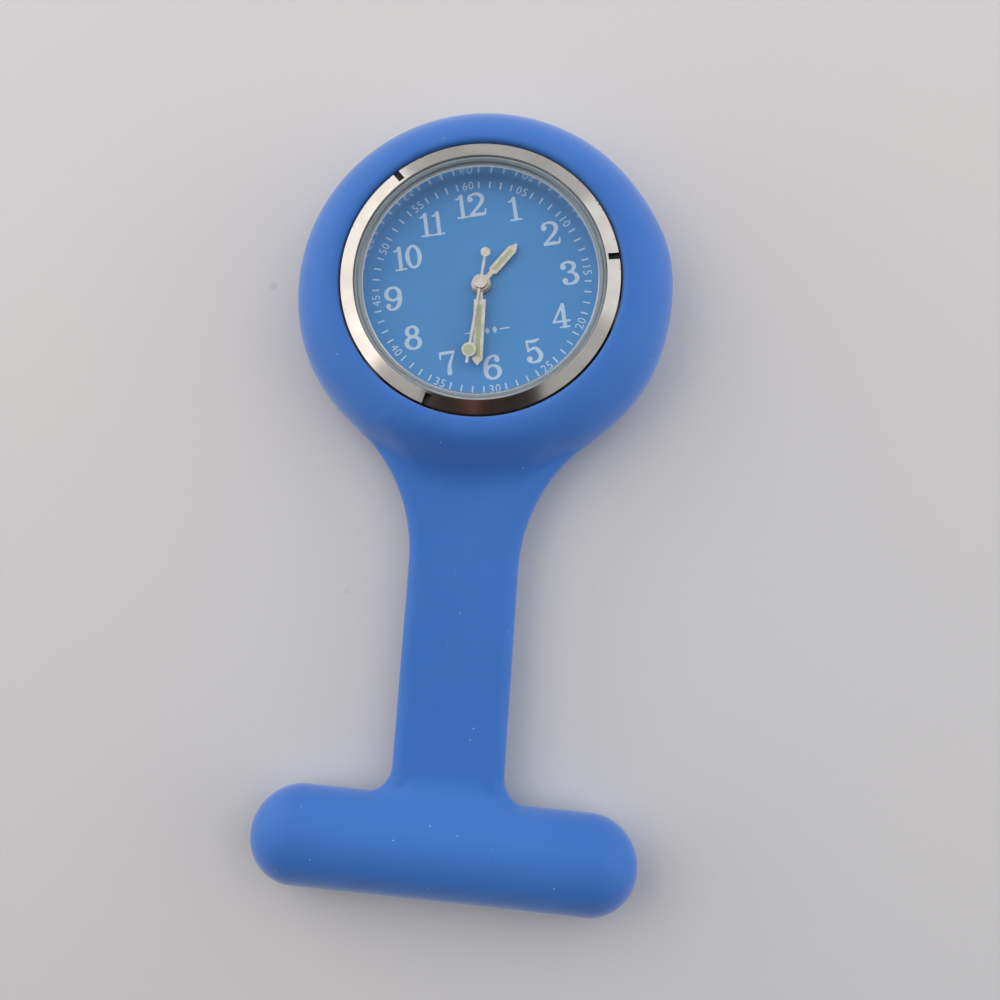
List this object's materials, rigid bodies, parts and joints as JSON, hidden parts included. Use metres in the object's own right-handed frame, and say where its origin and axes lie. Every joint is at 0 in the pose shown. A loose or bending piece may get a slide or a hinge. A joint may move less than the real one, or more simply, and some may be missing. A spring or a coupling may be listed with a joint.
{
  "type": "fob watch",
  "caption": "Blue silicone fob watch: round quartz watch head with steel bezel in a soft ring holder, flat neck and pin bar with a brooch pin behind.",
  "frame": {"origin": "on the watch head's axis, in the plane of the case back's outer face, where the watch rests", "axes": "+Z out of the dial, +Y from the pin bar towards the ring's far side, +X to the right seen from the front"},
  "size_m": [0.0428, 0.0878, 0.0093],
  "materials": {
    "silicone": "matte moulded silicone",
    "pin_steel": "nickel-plated",
    "pin_brass": "nickel-plated brass",
    "case_steel": "satin",
    "polished_steel": "polished",
    "hand_metal": "bright",
    "crystal_glass": "clear mineral glass",
    "gasket_plastic": "translucent grey",
    "gasket_rubber": "matte black",
    "dial_paint": "satin lacquer",
    "lume": "pale green luminous paint",
    "holder_plastic": "white acetal",
    "movement_brass": "plain brass",
    "movement_steel": "nickel-plated",
    "board_green": "solder mask",
    "chip_resin": "black resin",
    "copper_wire": "enamelled copper wire",
    "battery_steel": "plain steel",
    "magnet": "sintered"
  },
  "bodies": {
    "holder": {"silicone_holder": "silicone", "pin_plate": "pin_steel", "pin_rivet": "pin_steel"},
    "needle": {"pin_needle": "pin_steel"},
    "catch": {"pin_catch": "pin_brass"},
    "head": {"case_body": "case_steel", "case_back": "case_steel", "case_back_gasket": "gasket_rubber", "bezel": "polished_steel", "crystal": "crystal_glass", "crystal_gasket": "gasket_plastic", "dial_ring": "polished_steel", "dial": "dial_paint", "crown_tube": "case_steel", "movement_holder": "holder_plastic", "main_plate": "movement_brass", "train_bridge": "movement_steel", "movement_screws": "movement_steel", "circuit_board": "board_green", "timing_chip": "chip_resin", "quartz_can": "movement_steel", "coil_core": "movement_steel", "coil_winding": "copper_wire", "stator": "movement_steel", "battery": "battery_steel", "battery_clamp": "movement_steel", "battery_contact": "movement_brass", "yoke": "movement_steel"},
    "minute_works": {"centre_wheel": "movement_brass", "minute_hand": "hand_metal", "minute_lume": "lume"},
    "hour_works": {"hour_wheel": "movement_brass", "hour_hand": "hand_metal", "hour_lume": "lume"},
    "seconds_works": {"fourth_wheel": "movement_brass", "second_hand": "hand_metal", "second_lume": "lume"},
    "third_wheel": {"third_wheel": "movement_brass"},
    "minute_wheel": {"minute_wheel": "movement_brass"},
    "setting_wheel": {"setting_wheel": "movement_brass"},
    "step_wheel": {"step_wheel": "movement_brass"},
    "rotor": {"rotor_pinion": "movement_steel", "rotor_magnet": "magnet"},
    "clutch": {"sliding_pinion": "movement_steel"},
    "stem": {"winding_stem": "movement_steel", "crown": "polished_steel", "crown_gasket": "gasket_rubber"},
    "setting_lever": {"setting_lever": "movement_steel"}
  },
  "joints": [
    {"name": "head_turn", "type": "hinge", "parent": "holder", "child": "head", "pos_m": [0, 0, 0.0042], "axis": [0, 0, 1], "range_deg": [-26.5, 3.5]},
    {"name": "pin_open", "type": "hinge", "parent": "holder", "child": "needle", "pos_m": [-0.0142, -0.06063, 0.00175], "axis": [0.0192, 0.9998, 0], "range_deg": [0, 65]},
    {"name": "catch_turn", "type": "hinge", "parent": "holder", "child": "catch", "pos_m": [0.0112, -0.06112, 0.00175], "axis": [0.9998, -0.0192, 0], "range_deg": [0, 100]},
    {"name": "minute_hand_turn", "type": "hinge", "parent": "head", "child": "minute_works", "pos_m": [0, 0, 0.0042], "axis": [0, 0, -1], "continuous": true},
    {"name": "hour_hand_turn", "type": "hinge", "parent": "head", "child": "hour_works", "pos_m": [0, 0, 0.0042], "axis": [0, 0, -1], "continuous": true},
    {"name": "second_hand_turn", "type": "hinge", "parent": "head", "child": "seconds_works", "pos_m": [0, 0, 0.0042], "axis": [0, 0, -1], "continuous": true},
    {"name": "third_wheel_turn", "type": "hinge", "parent": "head", "child": "third_wheel", "pos_m": [-0.00055, 0.0027, 0.0042], "axis": [0, 0, -1], "continuous": true},
    {"name": "minute_wheel_turn", "type": "hinge", "parent": "head", "child": "minute_wheel", "pos_m": [0.00191, -0.00216, 0.0042], "axis": [0, 0, -1], "continuous": true},
    {"name": "setting_wheel_turn", "type": "hinge", "parent": "head", "child": "setting_wheel", "pos_m": [0.00406, 0.00011, 0.0042], "axis": [0, 0, -1], "continuous": true},
    {"name": "step_wheel_turn", "type": "hinge", "parent": "head", "child": "step_wheel", "pos_m": [-0.00237, -0.00145, 0.0042], "axis": [0, 0, -1], "continuous": true},
    {"name": "rotor_turn", "type": "hinge", "parent": "head", "child": "rotor", "pos_m": [-0.00198, -0.00338, 0.0042], "axis": [0, 0, -1], "continuous": true},
    {"name": "crown_turn", "type": "hinge", "parent": "head", "child": "clutch", "pos_m": [0.00529, 0.00108, 0.0042], "axis": [0.9799, 0.1994, 0], "continuous": true},
    {"name": "crown_pull", "type": "slide", "parent": "clutch", "child": "stem", "axis": [0.9799, 0.1994, 0], "range_m": [0, 0.001]},
    {"name": "setting_lever_swing", "type": "hinge", "parent": "head", "child": "setting_lever", "pos_m": [0.00724, 0.00402, 0.00475], "axis": [0, 0, 1], "range_deg": [0, 22.7]}
  ],
  "couplings": [
    {"joint": "hour_hand_turn", "follows": "minute_hand_turn", "ratio": 0.083333},
    {"joint": "second_hand_turn", "follows": "minute_hand_turn", "ratio": 60},
    {"joint": "third_wheel_turn", "follows": "minute_hand_turn", "ratio": -8},
    {"joint": "minute_wheel_turn", "follows": "minute_hand_turn", "ratio": -0.33333},
    {"joint": "setting_wheel_turn", "follows": "minute_hand_turn", "ratio": 0.75},
    {"joint": "step_wheel_turn", "follows": "minute_hand_turn", "ratio": -300},
    {"joint": "rotor_turn", "follows": "minute_hand_turn", "ratio": 1800},
    {"joint": "setting_lever_swing", "follows": "crown_pull", "rad_per_m": 394.79}
  ]
}
